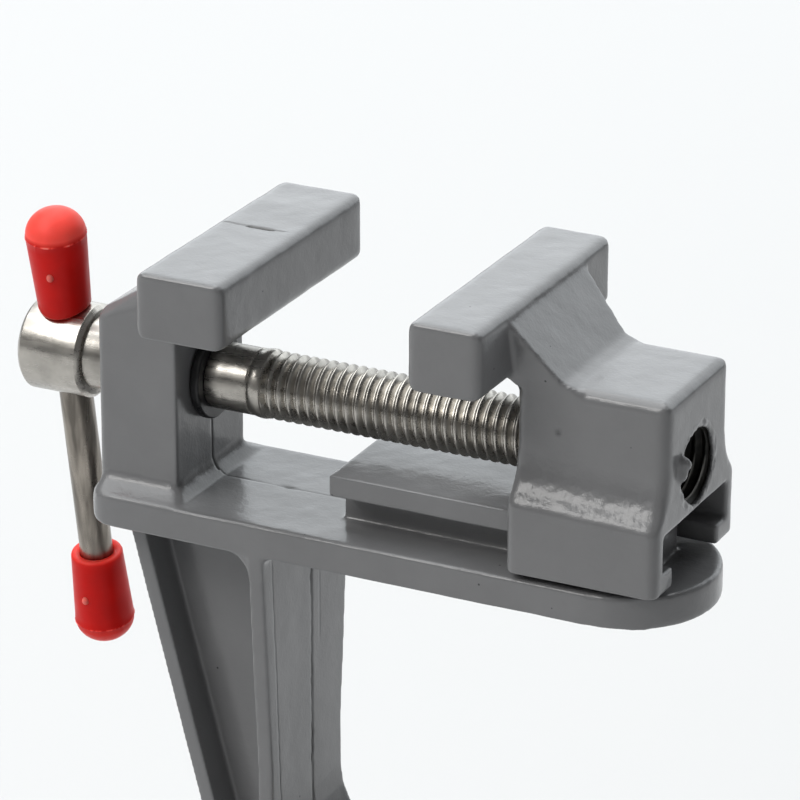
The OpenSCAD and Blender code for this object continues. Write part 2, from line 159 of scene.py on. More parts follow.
def enamel_material():
    mat, tree, shader, coord = new_material("grey_enamel", "grey_enamel")
    base = Vector(slots["grey_enamel"]["base_color"]) * 0.565
    base = Vector((base.x * 1.06, base.y * 1.01, base.z * 0.98))
    broad = add_noise(tree, coord, 90, 3, 0.6)
    color = add_ramp(tree, broad, [(0.3, tuple(base * 0.94)), (0.7, tuple(base * 1.05))])
    specks = tree.nodes.new("ShaderNodeTexVoronoi")
    specks.inputs["Scale"].default_value = 210
    tree.links.new(coord, specks.inputs["Vector"])
    dark = add_ramp(tree, specks.outputs["Distance"], [(0.022, grey(0.3)), (0.034, grey(1))])
    # The paint is darkened along the mould seams, in pits and in the mouth of the tapped hole: painted shade
    # in those crevices.
    crevice_shade = add_attribute(tree, "crevice_shade")
    shade = add_ramp(tree, crevice_shade, [(0.0, grey(1)), (1.0, grey(0.16))])
    painted = multiplied(tree, multiplied(tree, color, dark), shade)
    tree.links.new(painted, shader.inputs["Base Color"])
    rough = add_ramp(tree, add_noise(tree, coord, 240, 2), [(0.3, grey(0.30)), (0.7, grey(0.40))])
    tree.links.new(rough, shader.inputs["Roughness"])
    coat = add_ramp(tree, crevice_shade, [(0.0, grey(0.75)), (1.0, grey(0.05))])
    tree.links.new(coat, shader.inputs["Coat Weight"])
    set_inputs(shader, Metallic=0.0, Coat_Roughness=0.17, Coat_IOR=1.5)
    shader.inputs["Specular IOR Level"].default_value = 0.1
    peel = add_noise(tree, coord, 520, 3, 0.55)
    waves = add_noise(tree, coord, 130, 2, 0.5)
    fine = add_noise(tree, coord, 2600, 2, 0.6)
    add_bump(tree, shader, [(waves, 0.0002, 0.3), (peel, 0.00012, 0.45), (fine, 0.00004, 0.55)])
    return mat


def nickel_material(name, streak_axis, shade_tone=1.0, dark=0.72, warm=1.0, dents=0.0001):
    """Drawn and plated steel, darkened by its tone argument as painted shade for the dark surroundings it
    reflects; dark is the tone of its dark patches, and 0.6 or less draws them out along the part as painted
    reflection bands.
    """
    mat, tree, shader, coord = new_material(name, "plated_steel")
    base = Vector(slots["plated_steel"]["base_color"]) * shade_tone
    base = Vector((base.x, base.y * warm, base.z * warm ** 2))
    stretch = [1.0, 1.0, 1.0]
    stretch[streak_axis] = 0.12
    streaks = add_noise(tree, coord, 1100, 3, 0.6, tuple(stretch))
    clouds = add_noise(tree, coord, 260, 3, 0.6)
    reflection_bands = add_noise(tree, coord, 700, 2, 0.6, tuple(0.3 * v if v < 1 else 1.0 for v in stretch))
    stops = [(0.34, tuple(base * dark)), (0.66, tuple(base * 1.04))]
    color = add_ramp(tree, clouds if dark > 0.6 else reflection_bands, stops)
    tree.links.new(color, shader.inputs["Base Color"])
    rough = add_ramp(tree, streaks, [(0.3, grey(0.2)), (0.72, grey(0.42))])
    tree.links.new(rough, shader.inputs["Roughness"])
    set_inputs(shader, Metallic=1.0)
    add_bump(tree, shader, [(streaks, 0.00003, 0.45), (clouds, dents, 0.5)])
    return mat


def ring_material():
    mat, tree, shader, coord = new_material("black_ring", "black_ring")
    rough = add_ramp(tree, add_noise(tree, coord, 500, 2), [(0.3, grey(0.26)), (0.7, grey(0.4))])
    tree.links.new(rough, shader.inputs["Roughness"])
    shader.inputs["Specular IOR Level"].default_value = 0.35
    add_bump(tree, shader, [(add_noise(tree, coord, 700, 2), 0.00004, 0.3)])
    return mat


def raw_metal_material():
    """The unpainted wall of a tapped hole: painted near-black as the shade inside the hole, and paler on the
    crests the screw wears, which are painted bright as glints only on the lower half, where light reaches.
    """
    mat, tree, shader, coord = new_material("raw_metal", "grey_enamel")
    stops = [(0.35, (0.01, 0.01, 0.009)), (0.65, (0.025, 0.024, 0.021))]
    hole_shade = add_ramp(tree, add_noise(tree, coord, 700, 3), stops)
    mix = tree.nodes.new("ShaderNodeMix")
    mix.data_type = "RGBA"
    mix.inputs["B"].default_value = (0.6, 0.59, 0.56, 1)
    tree.links.new(add_attribute(tree, "wear_and_glint"), mix.inputs["Factor"])
    tree.links.new(hole_shade, mix.inputs["A"])
    tree.links.new(mix.outputs["Result"], shader.inputs["Base Color"])
    set_inputs(shader, Metallic=0.0, Roughness=0.5)
    shader.inputs["Specular IOR Level"].default_value = 0.15
    add_bump(tree, shader, [(add_noise(tree, coord, 1500, 2), 0.00003, 0.4)])
    return mat


def red_material():
    mat, tree, shader, coord = new_material("red_plastic", "red_plastic")
    base = Vector(slots["red_plastic"]["base_color"])
    base = Vector((base.x * 0.95, base.y * 0.32, base.z * 0.22))
    # Paler red where the caps are given painted light on their crowns, and at the seam flash, the gate and the
    # mouth's edge.
    stops = [(0.0, tuple(base)), (0.6, (0.95, 0.085, 0.065)), (1.0, (0.9, 0.25, 0.21))]
    color = add_ramp(tree, add_attribute(tree, "pale_and_lit"), stops)
    cloud = add_ramp(tree, add_noise(tree, coord, 260, 3), [(0.3, grey(0.86)), (0.7, grey(1.0))])
    tree.links.new(multiplied(tree, color, cloud), shader.inputs["Base Color"])
    rough = add_ramp(tree, add_noise(tree, coord, 600, 2), [(0.3, grey(0.3)), (0.7, grey(0.42))])
    tree.links.new(rough, shader.inputs["Roughness"])
    set_inputs(shader, Subsurface_Weight=0.6, Subsurface_Scale=0.003)
    shader.inputs["Specular IOR Level"].default_value = 0.12
    shader.inputs["Subsurface Radius"].default_value = (1.0, 0.12, 0.08)
    waves = add_noise(tree, coord, 350, 2)
    fine = add_noise(tree, coord, 1800, 2)
    add_bump(tree, shader, [(waves, 0.00006, 0.4), (fine, 0.00002, 0.3)])
    return mat


def link(name, mesh, mat):
    obj = bpy.data.objects.new(name, mesh)
    bpy.context.scene.collection.objects.link(obj)
    mesh.materials.clear()
    mesh.materials.append(mat)
    return obj


def mesh_from(name, points, faces):
    """A mesh from points in millimetres."""
    mesh = bpy.data.meshes.new(name)
    mesh.from_pydata([Vector(p) * MM for p in points], [], faces)
    mesh.update()
    return mesh


def smooth(mesh, degrees=30):
    mesh.shade_smooth()
    mesh.set_sharp_from_angle(angle=math.radians(degrees))


def weld(mesh, distance=0.000002):
    bm = bmesh.new()
    bm.from_mesh(mesh)
    bmesh.ops.remove_doubles(bm, verts=bm.verts, dist=distance)
    bmesh.ops.recalc_face_normals(bm, faces=bm.faces)
    bm.to_mesh(mesh)
    bm.free()


def node_copy(node, name):
    """A welded copy of a CAD node's mesh, free to be reshaped."""
    mesh = nodes[node].data.copy()
    mesh.name = name
    if mesh.attributes.get("custom_normal"):
        mesh.attributes.remove(mesh.attributes["custom_normal"])
    weld(mesh)
    return mesh


def prism(outline, plane, low, high):
    """A closed prism: an outline in two axes, drawn out along the third from low to high."""
    order = {"xz": (0, 2, 1), "yz": (1, 2, 0), "xy": (0, 1, 2)}[plane]
    points = []
    for depth in (low, high):
        for u, v in outline:
            p = [0.0, 0.0, 0.0]
            p[order[0]], p[order[1]], p[order[2]] = u, v, depth
            points.append(p)
    n = len(outline)
    faces = [list(range(n)), list(range(2 * n - 1, n - 1, -1))]
    faces += [[i, (i + 1) % n, n + (i + 1) % n, n + i] for i in range(n)]
    return points, faces


def round_rect(x0, y0, x1, y1, r, steps=6):
    points = []
    corners = ((x1 - r, y1 - r, 0), (x0 + r, y1 - r, 90), (x0 + r, y0 + r, 180), (x1 - r, y0 + r, 270))
    for x, y, start in corners:
        for i in range(steps + 1):
            a = math.radians(start + 90 * i / steps)
            points.append((x + r * math.cos(a), y + r * math.sin(a)))
    return points


def loft(levels):
    """A closed solid from outlines of equal length, each with its height, from the lowest up."""
    n = len(levels[0][0])
    points = [(x, y, z) for outline, z in levels for x, y in outline]
    faces = [list(range(n - 1, -1, -1)), list(range(len(points) - n, len(points)))]
    for k in range(len(levels) - 1):
        for i in range(n):
            m = (i + 1) % n
            faces.append([k * n + i, k * n + m, (k + 1) * n + m, (k + 1) * n + i])
    return points, faces


def corner(u, v, du, dv, r, steps=8):
    """Outline of a concave fillet of radius r, in the corner at (u, v) that opens along du and dv."""
    sunk = 0.3
    points = [(u - du * sunk, v - dv * sunk), (u + du * r, v - dv * sunk)]
    for i in range(steps + 1):
        a = math.pi / 2 * i / steps
        points.append((u + du * r * (1 - math.sin(a)), v + dv * r * (1 - math.cos(a))))
    points.append((u - du * sunk, v + dv * r))
    return points


def blob(center, radii, rings=10, sides=16):
    """An ellipsoid, for small lumps that are merged into a casting or moulded on a cap."""
    points = [(center[0], center[1], center[2] + radii[2])]
    for i in range(1, rings):
        a = math.pi * i / rings
        for k in range(sides):
            b = 2 * math.pi * k / sides
            points.append((center[0] + radii[0] * math.sin(a) * math.cos(b),
                           center[1] + radii[1] * math.sin(a) * math.sin(b),
                           center[2] + radii[2] * math.cos(a)))
    points.append((center[0], center[1], center[2] - radii[2]))
    last = len(points) - 1
    faces = [[0, 1 + k, 1 + (k + 1) % sides] for k in range(sides)]
    for i in range(rings - 2):
        for k in range(sides):
            a, b = 1 + i * sides + k, 1 + i * sides + (k + 1) % sides
            faces.append([a, a + sides, b + sides, b])
    tail = 1 + (rings - 2) * sides
    faces += [[last, tail + (k + 1) % sides, tail + k] for k in range(sides)]
    return points, faces


def applied(obj):
    """The object's mesh with its modifiers applied, in place of its own."""
    bpy.context.view_layer.update()
    graph = bpy.context.evaluated_depsgraph_get()
    mesh = bpy.data.meshes.new_from_object(obj.evaluated_get(graph))
    obj.modifiers.clear()
    old = obj.data
    obj.data = mesh
    bpy.data.meshes.remove(old)
    return obj


def joined(obj, parts):
    """Adds closed parts, given as points and faces, to an object's mesh."""
    bm = bmesh.new()
    bm.from_mesh(obj.data)
    for points, faces in parts:
        part = mesh_from("added", points, faces)
        weld(part)
        bm.from_mesh(part)
        bpy.data.meshes.remove(part)
    bm.to_mesh(obj.data)
    bm.free()


def reskinned(obj, voxel):
    remesh = obj.modifiers.new("skin", "REMESH")
    remesh.mode = "VOXEL"
    remesh.voxel_size = voxel * MM
    return applied(obj)


def casting(name, node, added, cuts, late, mat, voxel, rounds):
    """A casting's skin: the CAD solid with fillets added and holes cut, with every edge rounded off."""
    obj = link(name, node_copy(node, name), mat)
    joined(obj, added)
    reskinned(obj, voxel)
    for points, faces in cuts:
        cutter = mesh_from("cutter", points, faces)
        weld(cutter)
        tool = link("cutter", cutter, mat)
        cut = obj.modifiers.new("cut", "BOOLEAN")
        cut.operation = "DIFFERENCE"
        cut.solver = "EXACT"
        cut.object = tool
        applied(obj)
        bpy.data.objects.remove(tool)
        bpy.data.meshes.remove(cutter)
    if cuts:
        joined(obj, late)
        reskinned(obj, voxel)
    soft = obj.modifiers.new("soft", "SMOOTH")
    soft.factor = 0.5
    soft.iterations = rounds
    applied(obj)
    obj.data.materials.clear()
    obj.data.materials.append(mat)
    return obj


def softened(obj, weight, rounds):
    """Rounds the edges off further where weight(points in millimetres) is above 0."""
    n = len(obj.data.vertices)
    co = np.empty(n * 3, np.float32)
    obj.data.vertices.foreach_get("co", co)
    level = np.round(np.clip(weight(co.reshape(-1, 3).astype(float) / MM), 0, 1) * 5)
    group = obj.vertex_groups.new(name="soft")
    for step in range(1, 6):
        group.add(np.flatnonzero(level == step).tolist(), step / 5, "REPLACE")
    soft = obj.modifiers.new("soft", "SMOOTH")
    soft.factor = 0.5
    soft.iterations = rounds
    soft.vertex_group = "soft"
    applied(obj)
    obj.vertex_groups.clear()


def displaced(obj, shift):
    """Moves each vertex along its normal, and keeps how much painted shade it gets in its crevices.
    shift(point, normal) gives both, the move in millimetres and the shade, all as arrays."""
    mesh = obj.data
    n = len(mesh.vertices)
    co = np.empty(n * 3, np.float32)
    no = np.empty(n * 3, np.float32)
    mesh.vertices.foreach_get("co", co)
    mesh.vertex_normals.foreach_get("vector", no)
    co, no = co.reshape(-1, 3), no.reshape(-1, 3)
    amount, crevice_shade = shift(co.astype(float) / MM, no.astype(float))
    co += (no * amount[:, None] * MM).astype(np.float32)
    mesh.vertices.foreach_set("co", co.ravel())
    layer = mesh.attributes.new("crevice_shade", "FLOAT", "POINT")
    layer.data.foreach_set("value", np.clip(crevice_shade, 0, 1).astype(np.float32))
    mesh.update()


def wave(p, period, seed):
    """Soft waves between -1 and 1 over the points p, with about that period in millimetres."""
    rng = np.random.default_rng(seed)
    total = np.zeros(len(p))
    for _ in range(7):
        d = rng.normal(size=3)
        d /= np.linalg.norm(d)
        total += np.sin((p @ d) * 2 * math.pi / (period * rng.uniform(0.7, 1.5)) + rng.uniform(0, 6.28))
    return total / 4.0


def between(v, low, high, soft=0.4):
    """1 inside low to high, falling to 0 over soft at each end."""
    return np.clip((v - low) / soft, 0, 1) * np.clip((high - v) / soft, 0, 1)


def line_at(v, at, width):
    return np.exp(-((v - at) / width) ** 2)


def lathe(name, profile, sides, place, mat, ripple=None, sharp=30):
    """Turns a profile of (radius, height) about Z; ripple(angle, i) adds to a radius."""
    points, faces = [], []
    n = len(profile)
    for k in range(sides):
        a = 2 * math.pi * k / sides
        for i, (r, h) in enumerate(profile):
            if ripple:
                r += ripple(a, i)
            points.append((r * math.cos(a), r * math.sin(a), h))
    for k in range(sides):
        m = (k + 1) % sides
        for i in range(n - 1):
            faces.append([k * n + i, m * n + i, m * n + i + 1, k * n + i + 1])
    mesh = mesh_from(name, points, faces)
    weld(mesh)
    mesh.transform(place)
    smooth(mesh, sharp)
    return link(name, mesh, mat)


def at(x, y, z):
    return Matrix.Translation(Vector((x, y, z)) * MM)


def helix(name, length, radius, depth, place, mat, start_taper, end_taper, sides=72):
    """A right-hand thread up Z from 0 to length, which fades out at each end."""
    profile = [(0.0, 0.0), (0.06, 0.03), (0.36, 0.88), (0.43, 0.98), (0.5, 1.0), (0.57, 0.98),
               (0.64, 0.88), (0.94, 0.03)]
    rows = []
    turns = int(length / PITCH) + 3
    steps = turns * sides
    for s in range(steps + 1):
        a = 2 * math.pi * s / sides
        base = s / sides * PITCH - 2 * PITCH
        row = []
        for f, rise in profile:
            h = min(max(base + f * PITCH, 0.0), length)
            near = max(min(h / start_taper, (length - h) / end_taper, 1), 0.0)
            r = radius - depth + depth * rise * near
            if length - h < end_taper:
                r -= 0.5 * (1 - (length - h) / end_taper) ** 2
            row.append((r * math.cos(a), r * math.sin(a), h))
        rows.append(row)
    n = len(profile)
    points = [p for row in rows for p in row]
    faces = []
    for s in range(steps):
        for i in range(n - 1):
            faces.append([s * n + i, (s + 1) * n + i, (s + 1) * n + i + 1, s * n + i + 1])
        if s + sides < steps:
            faces.append([s * n + n - 1, (s + 1) * n + n - 1, (s + 1 + sides) * n, (s + sides) * n])
    mesh = mesh_from(name, points, faces)
    bm = bmesh.new()
    bm.from_mesh(mesh)
    bmesh.ops.remove_doubles(bm, verts=bm.verts, dist=0.000001)
    loose = [v for v in bm.verts if not v.link_faces]
    bmesh.ops.delete(bm, geom=loose, context="VERTS")
    bmesh.ops.dissolve_degenerate(bm, dist=0.0000005, edges=bm.edges)
    bm.to_mesh(mesh)
    bm.free()
    mesh.transform(place)
    smooth(mesh, 40)
    return link(name, mesh, mat)


def beveled(name, mesh, mat, width, segments=2, degrees=35):
    obj = link(name, mesh, mat)
    mod = obj.modifiers.new("edge", "BEVEL")
    mod.width = width * MM
    mod.segments = segments
    mod.limit_method = "ANGLE"
    mod.angle_limit = math.radians(degrees)
    mod.use_clamp_overlap = True
    applied(obj)
    smooth(obj.data, 40)
    obj.data.materials.clear()
    obj.data.materials.append(mat)
    return obj


def kept(mesh, axis, sign, limit):
    """Cuts a mesh at a plane and keeps the side where sign * coordinate < sign * limit."""
    normal = [0, 0, 0]
    normal[axis] = sign
    point = [0, 0, 0]
    point[axis] = limit * MM
    bm = bmesh.new()
    bm.from_mesh(mesh)
    bmesh.ops.bisect_plane(bm, geom=bm.verts[:] + bm.edges[:] + bm.faces[:], dist=1e-7,
                           plane_co=point, plane_no=normal, clear_outer=True)
    edges = [e for e in bm.edges if e.is_boundary]
    bmesh.ops.holes_fill(bm, edges=edges, sides=0)
    bm.to_mesh(mesh)
    bm.free()
    return mesh


enamel = enamel_material()
# Each copy of the plated steel gets its own darkening: painted shade for the surroundings it reflects,
# strongest on the handle bars, which also get painted reflection bands.
nickel_x = nickel_material("nickel_lead_screw", 0, 0.7)
nickel_bar = nickel_material("nickel_bars", 2, 0.5, 0.4, 0.95)
nickel_bar_y = nickel_material("nickel_clamp_bar", 1, 0.6, 0.5, 0.95)
nickel_z = nickel_material("nickel_clamp_screw", 2, 0.9, 0.86, 1.0, 0.00004)
black = ring_material()
red = red_material()
raw_metal = raw_metal_material()
VOXEL = 0.22
ROUNDS = 10


def post_foot():
    """The slope round the post's foot, shallow at the sides and a fillet in front."""
    levels = []
    for out_y, out_x, z in [(2.75, 2.0, 3.5), (2.55, 1.6, 3.95), (1.75, 1.05, 4.35), (0.95, 0.6, 4.8),
                            (0.4, 0.3, 5.25), (0.08, 0.08, 5.9), (-0.3, -0.3, 6.4)]:
        half = POST_HALF + out_y
        levels.append((round_rect(POST_BACK_X + 0.2, -half, FIXED_BACK_X + out_x, half, 1.2), z))
    return loft(levels)


# Body casting: fillets where its walls meet, then the marks of its mould
body_added = [
    prism(corner(THROAT_X - FLANGE_T, 0, -1, -1, 3.4), "xz", -BEAM_HALF + 0.3, BEAM_HALF - 0.3),
    prism(corner(THROAT_X, 0, 1, -1, 1.2), "xz", -BEAM_HALF + 0.3, BEAM_HALF - 0.3),
    post_foot(),
    prism(corner(FIXED_BACK_X, JAW_TOP - FIXED_JAW_H, 1, -1, 0.8), "xz", -7.6, 7.6),
    prism(corner(-RAIL_NECK_HALF, BEAM_TOP, -1, 1, 0.7), "yz", RAIL_X + 0.3, RAIL_END - 0.3),
    prism(corner(RAIL_NECK_HALF, BEAM_TOP, 1, 1, 0.7), "yz", RAIL_X + 0.3, RAIL_END - 0.3),
]
body = casting("body_casting_skin", "body_casting", body_added, [], [], enamel, VOXEL, ROUNDS)


def beam_rim(p):
    """The beam's edges are rounder than the others."""
    x, y, z = p.T
    sides = between(abs(y), 9.5, 12, 0.6)
    ends = np.maximum(between(-x, 40.6, 45, 0.8), between(x, 27.0, 33, 1.5))
    return np.maximum(sides, ends) * between(z, -0.7, 5.0, 0.6)


def beam_back(p):
    x, _, z = p.T
    return between(-x, 40.8, 45, 1.2) * between(z, -2.0, 4.6, 0.8)


def jaw_and_post_top(p):
    return np.clip((p[:, 2] - 22.0) / 3.0, 0, 1)


softened(body, beam_rim, 32)
softened(body, beam_back, 60)
softened(body, jaw_and_post_top, 22)


# Mould seams, a slit, a nick and lines on the throat: shallow grooves, each darkened with painted shade.
def body_marks(p, n):
    x, y, z = p.T
    rough = wave(p, 2.2, 21)
    shift = 0.025 * wave(p, 9.0, 3) + 0.015 * wave(p, 4.0, 5)
    crevice_shade = np.zeros(len(p))
    top = (n[:, 2] > 0.8) & (z > JAW_TOP - 0.6) & (x < FIXED_FACE_X)
    seam = line_at(y + 0.03 * rough, 1.75, 0.2) * between(x, -32.0, -22.6, 0.8)
    slit = line_at(y, 1.75, 0.24) * between(x, -28.2, -24.4, 0.5)
    shift -= np.where(top, seam * 0.08 + slit * 0.3, 0)
    crevice_shade += np.where(top, seam * 0.3 + slit * 0.75, 0)
    front = (n[:, 0] > 0.7) & (x > FIXED_BACK_X - 0.8) & (x < FIXED_BACK_X + 2)
    front &= (z > BEAM_TOP) & (z < 27)
    seam = line_at(y + 0.06 * rough, 0.3, 0.2)
    shift -= np.where(front, seam * 0.1, 0)
    crevice_shade += np.where(front, seam * (0.45 + 0.2 * wave(p, 3.0, 41)), 0)
    deck = (n[:, 2] > 0.7) & (abs(z - BEAM_TOP) < 0.8) & (x > -31.8) & (x < RAIL_X)
    seam = line_at(y + 0.05 * rough, 0.55, 0.19) * (0.65 + 0.35 * wave(p, 5.0, 8))
    nick = line_at(x, -22.2, 0.9) * line_at(y, 0.65, 0.3)
    shift -= np.where(deck, seam * 0.05 + nick * 0.12, 0)
    crevice_shade += np.where(deck, seam * 0.25 + nick * 0.5, 0)
    throat = (n[:, 0] > 0.7) & (abs(x - THROAT_X) < 0.8) & (z < -0.5)
    seam = line_at(y + 0.08 * rough, 1.3, 0.24) * (0.75 + 0.25 * wave(p, 7.0, 9))
    second = line_at(y, 3.3, 0.16) * between(z, -17.0, -1.0, 2.0)
    rim = line_at(y + 0.05 * rough, -8.6 - 0.055 * z, 0.16)
    shift -= np.where(throat, seam * 0.22 + second * 0.04 + rim * 0.05, 0)
    crevice_shade += np.where(throat, seam * 0.7 + second * 0.25 + rim * 0.35, 0)
    return shift, crevice_shade


displaced(body, body_marks)
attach(body, "frame")
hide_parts("body_casting")


def circle_yz(r, sides):
    return [(r * math.cos(2 * math.pi * i / sides), SCREW_Z + r * math.sin(2 * math.pi * i / sides))
            for i in range(sides)]


# The broken rim of the tapped hole, as y and z around the screw's axis
MOUTH = [(1.4, 20.95), (2.3, 20.5), (3.1, 19.85), (3.7, 19.0), (4.05, 18.2), (4.25, 17.4), (4.35, 16.6),
         (4.45, 15.9), (4.2, 15.2), (4.0, 14.7), (3.5, 14.1), (3.0, 13.55), (2.5, 13.3), (2.0, 12.9),
         (1.3, 12.45), (0.6, 12.2), (-0.3, 12.35), (-1.0, 12.55), (-1.7, 12.95), (-2.3, 13.3), (-2.9, 13.9),
         (-3.4, 14.5), (-3.9, 15.2), (-4.2, 15.9), (-4.35, 16.5), (-4.35, 17.1), (-4.3, 17.7), (-4.2, 18.3),
         (-3.95, 18.9), (-3.65, 19.5), (-3.3, 20.0), (-2.8, 20.45), (-2.3, 20.75), (-1.6, 20.85), (-0.8, 21.1),
         (0.2, 21.1)]


def ledge():
    """The slope from the skirt's shoulder up to the block's side, a little higher towards the plate."""
    levels = []
    for half, z in [(11.3, 11.9), (11.3, 12.3), (11.22, 12.75), (11.02, 13.15), (10.65, 13.6), (10.25, 14.05),
                    (9.87, 14.55), (9.53, 15.1), (9.25, 15.7), (9.02, 16.4), (8.85, 17.2), (8.72, 18.1)]:
        levels.append((round_rect(BLOCK_X, -half, BLOCK_END, half, 1.25), z))
    points, faces = loft(levels)
    middle = (BLOCK_X + BLOCK_END) / 2
    return [(x, y, z - 0.03 * (x - middle) * (z > 12)) for x, y, z in points], faces


# Moving jaw: the wide ledge over the skirt, the broken mouth of the tapped hole and its nub
jaw_added = [
    ledge(),
    prism(corner(BLOCK_X, PLATE_UNDER, -1, -1, 2.4), "xz", -BLOCK_HALF + 0.7, BLOCK_HALF - 0.7),
    prism(corner(PLATE_BACK_X, PLATE_UNDER, 1, -1, 0.8), "xz", -BLOCK_HALF + 0.7, BLOCK_HALF - 0.7),
]
# Where the gusset's foot meets the block's upper edges
for side in (-1, 1):
    jaw_added.append(blob((17.9, side * 7.95, 26.1), (1.7, 0.8, 0.8)))
# A thin wall across the bore, in which the mouth is cut
jaw_added.append(prism(circle_yz(4.7, 48), "yz", BLOCK_END - MOUTH_DEPTH - 0.3, BLOCK_END - 0.02))
jaw_cuts = [
    prism(circle_yz(THREAD_R + 0.3, 64), "yz", BLOCK_X - 1, BLOCK_X + 1),
    prism(MOUTH, "yz", BLOCK_END - MOUTH_DEPTH - 0.5, BLOCK_END + 1),
    prism(circle_yz(TAP_R + 0.3, 64), "yz", BLOCK_X + 0.7, BLOCK_END - MOUTH_DEPTH),
]
jaw_late = [
    blob((BLOCK_END + 0.3, -4.85, 18.9), (1.0, 0.65, 0.95)),
    blob((BLOCK_END + 0.1, -4.9, 17.7), (0.85, 0.55, 1.0)),
]
jaw = casting("moving_jaw_skin", "moving_jaw", jaw_added, jaw_cuts, jaw_late, enamel, VOXEL, ROUNDS)


def plate_part(p):
    return between(-p[:, 0], -PLATE_BACK_X, 5, 0.6) * np.clip((p[:, 2] - 24.0) / 2.0, 0, 1)


softened(jaw, plate_part, 22)


# A pit at the block's corner and a small dot, both sunk and darkened with painted shade, and the inside of the
# hole's mouth painted dark as shade.
def jaw_marks(p, n):
    x, y, z = p.T
    shift = 0.025 * wave(p, 8.0, 11) + 0.015 * wave(p, 3.5, 12)
    rim = (x > BLOCK_END - 1.2) & (np.hypot(y, z - SCREW_Z) < 5.2)
    shift += np.where(rim, 0.06 * wave(p, 1.3, 17), 0)
    slope = between(z, 12.8, 17.0, 0.6) * (abs(y) > BLOCK_HALF - 0.2) * (x > BLOCK_X)
    shift += slope * (0.012 * wave(p, 2.6, 19) + 0.016 * wave(p, 0.9, 23))
    pit = np.exp(-((x - BLOCK_X) ** 2 + (y + 8.3) ** 2 + (z - 25.6) ** 2) / 0.45)
    dot = np.exp(-((x - 16.2) ** 2 + (y + BLOCK_HALF) ** 2 + (z - 21.6) ** 2) / 0.12)
    shift -= 0.3 * pit + 0.15 * dot
    wall = (x < BLOCK_END - 0.12) & (x > BLOCK_END - 1.5) & (np.hypot(y, z - SCREW_Z) < 4.8)
    return shift, 0.9 * pit + 0.4 * dot + 0.75 * wall


displaced(jaw, jaw_marks)


def tapped_lining(name, length, place, mat, sides=64):
    """The inside of a tapped hole: a tube whose wall has a helical groove, open at both ends."""
    steps = int(length / PITCH * 10)
    points, faces, crest_wear_and_glint = [], [], []
    for i in range(steps + 1):
        h = length * i / steps
        for k in range(sides):
            a = 2 * math.pi * k / sides
            f = (h / PITCH - k / sides) % 1.0
            rise = 1 - abs(2 * f - 1)
            r = THREAD_R + 0.12 + (TAP_R - THREAD_R - 0.2) * min(max(rise * 1.25 - 0.1, 0), 1)
            points.append((r * math.cos(a), r * math.sin(a), h))
            # Only the lower half's crests are made pale: wear from the screw, and painted glints where the
            # light from above reaches them.
            low = min(max((math.cos(a) - 0.1) / 0.5, 0), 1)
            crest_wear_and_glint.append(low * min(max(1.15 - rise * 5, 0), 1))
    inner = len(points)
    for h in (0.0, length):
        for k in range(sides):
            a = 2 * math.pi * k / sides
            points.append(((TAP_R + 0.45) * math.cos(a), (TAP_R + 0.45) * math.sin(a), h))
    for i in range(steps):
        for k in range(sides):
            m = (k + 1) % sides
            faces.append([i * sides + k, (i + 1) * sides + k, (i + 1) * sides + m, i * sides + m])
    last = steps * sides
    for k in range(sides):
        m = (k + 1) % sides
        faces.append([k, m, inner + m, inner + k])
        faces.append([last + m, last + k, inner + sides + k, inner + sides + m])
        faces.append([inner + k, inner + m, inner + sides + m, inner + sides + k])
    mesh = mesh_from(name, points, faces)
    layer = mesh.attributes.new("wear_and_glint", "FLOAT", "POINT")
    layer.data.foreach_set("value", crest_wear_and_glint + [0.0] * (len(points) - len(crest_wear_and_glint)))
    mesh.transform(place)
    smooth(mesh, 50)
    return link(name, mesh, mat)


tapped = tapped_lining("moving_jaw_thread", BLOCK_END - BLOCK_X - 1.0 - MOUTH_DEPTH,
                       at(BLOCK_X + 0.9, 0, SCREW_Z) @ Matrix.Rotation(math.pi / 2, 4, "Y"), raw_metal)
for piece in (jaw, tapped):
    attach(piece, "moving_jaw")
    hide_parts("moving_jaw")

# Lead screw: head, neck and shank from the CAD solid, and a true helix
along_x = at(0, 0, SCREW_Z) @ Matrix.Rotation(math.pi / 2, 4, "Y")
turned = kept(node_copy("main_screw", "lead_screw_turned"), 0, 1, THREAD_X - 4.3)
lead = beveled("lead_screw_turned", turned, nickel_x, 0.18)
shoulder = lathe("lead_screw_shoulder", [(r, THREAD_X + h) for r, h in [
    (0, -5.0), (SHANK_R, -5.0), (SHANK_R, -1.95), (SHANK_R - 0.1, -1.8), (SHANK_R - 0.06, -1.65),
    (SHANK_R + 0.03, -1.5), (SHANK_R + 0.14, -0.9), (SHANK_R + 0.16, -0.35), (SHANK_R + 0.05, -0.1),
    (SHANK_R - 0.3, 0.15), (SHANK_R - 0.62, 0.35), (0, 0.35)]], 96, along_x, nickel_x)
lead_helix = helix("lead_screw_thread", SCREW_END - THREAD_X + 0.4, THREAD_R, THREAD_DEPTH,
                   at(THREAD_X - 0.4, 0, SCREW_Z) @ Matrix.Rotation(math.pi / 2, 4, "Y"), nickel_x, 0.5, 1.3)
core_end = lathe("lead_screw_end", [(0, 0.02), (2.6, 0.02), (2.85, 0.25), (3.0, 1.2), (0, 1.2)], 64,
                 at(SCREW_END, 0, SCREW_Z) @ Matrix.Rotation(-math.pi / 2, 4, "Y"), nickel_x)
for piece in (lead, shoulder, lead_helix, core_end):
    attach(piece, "lead_screw")
    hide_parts("main_screw")
nodes["retaining_ring"].data.materials.clear()
nodes["retaining_ring"].data.materials.append(black)


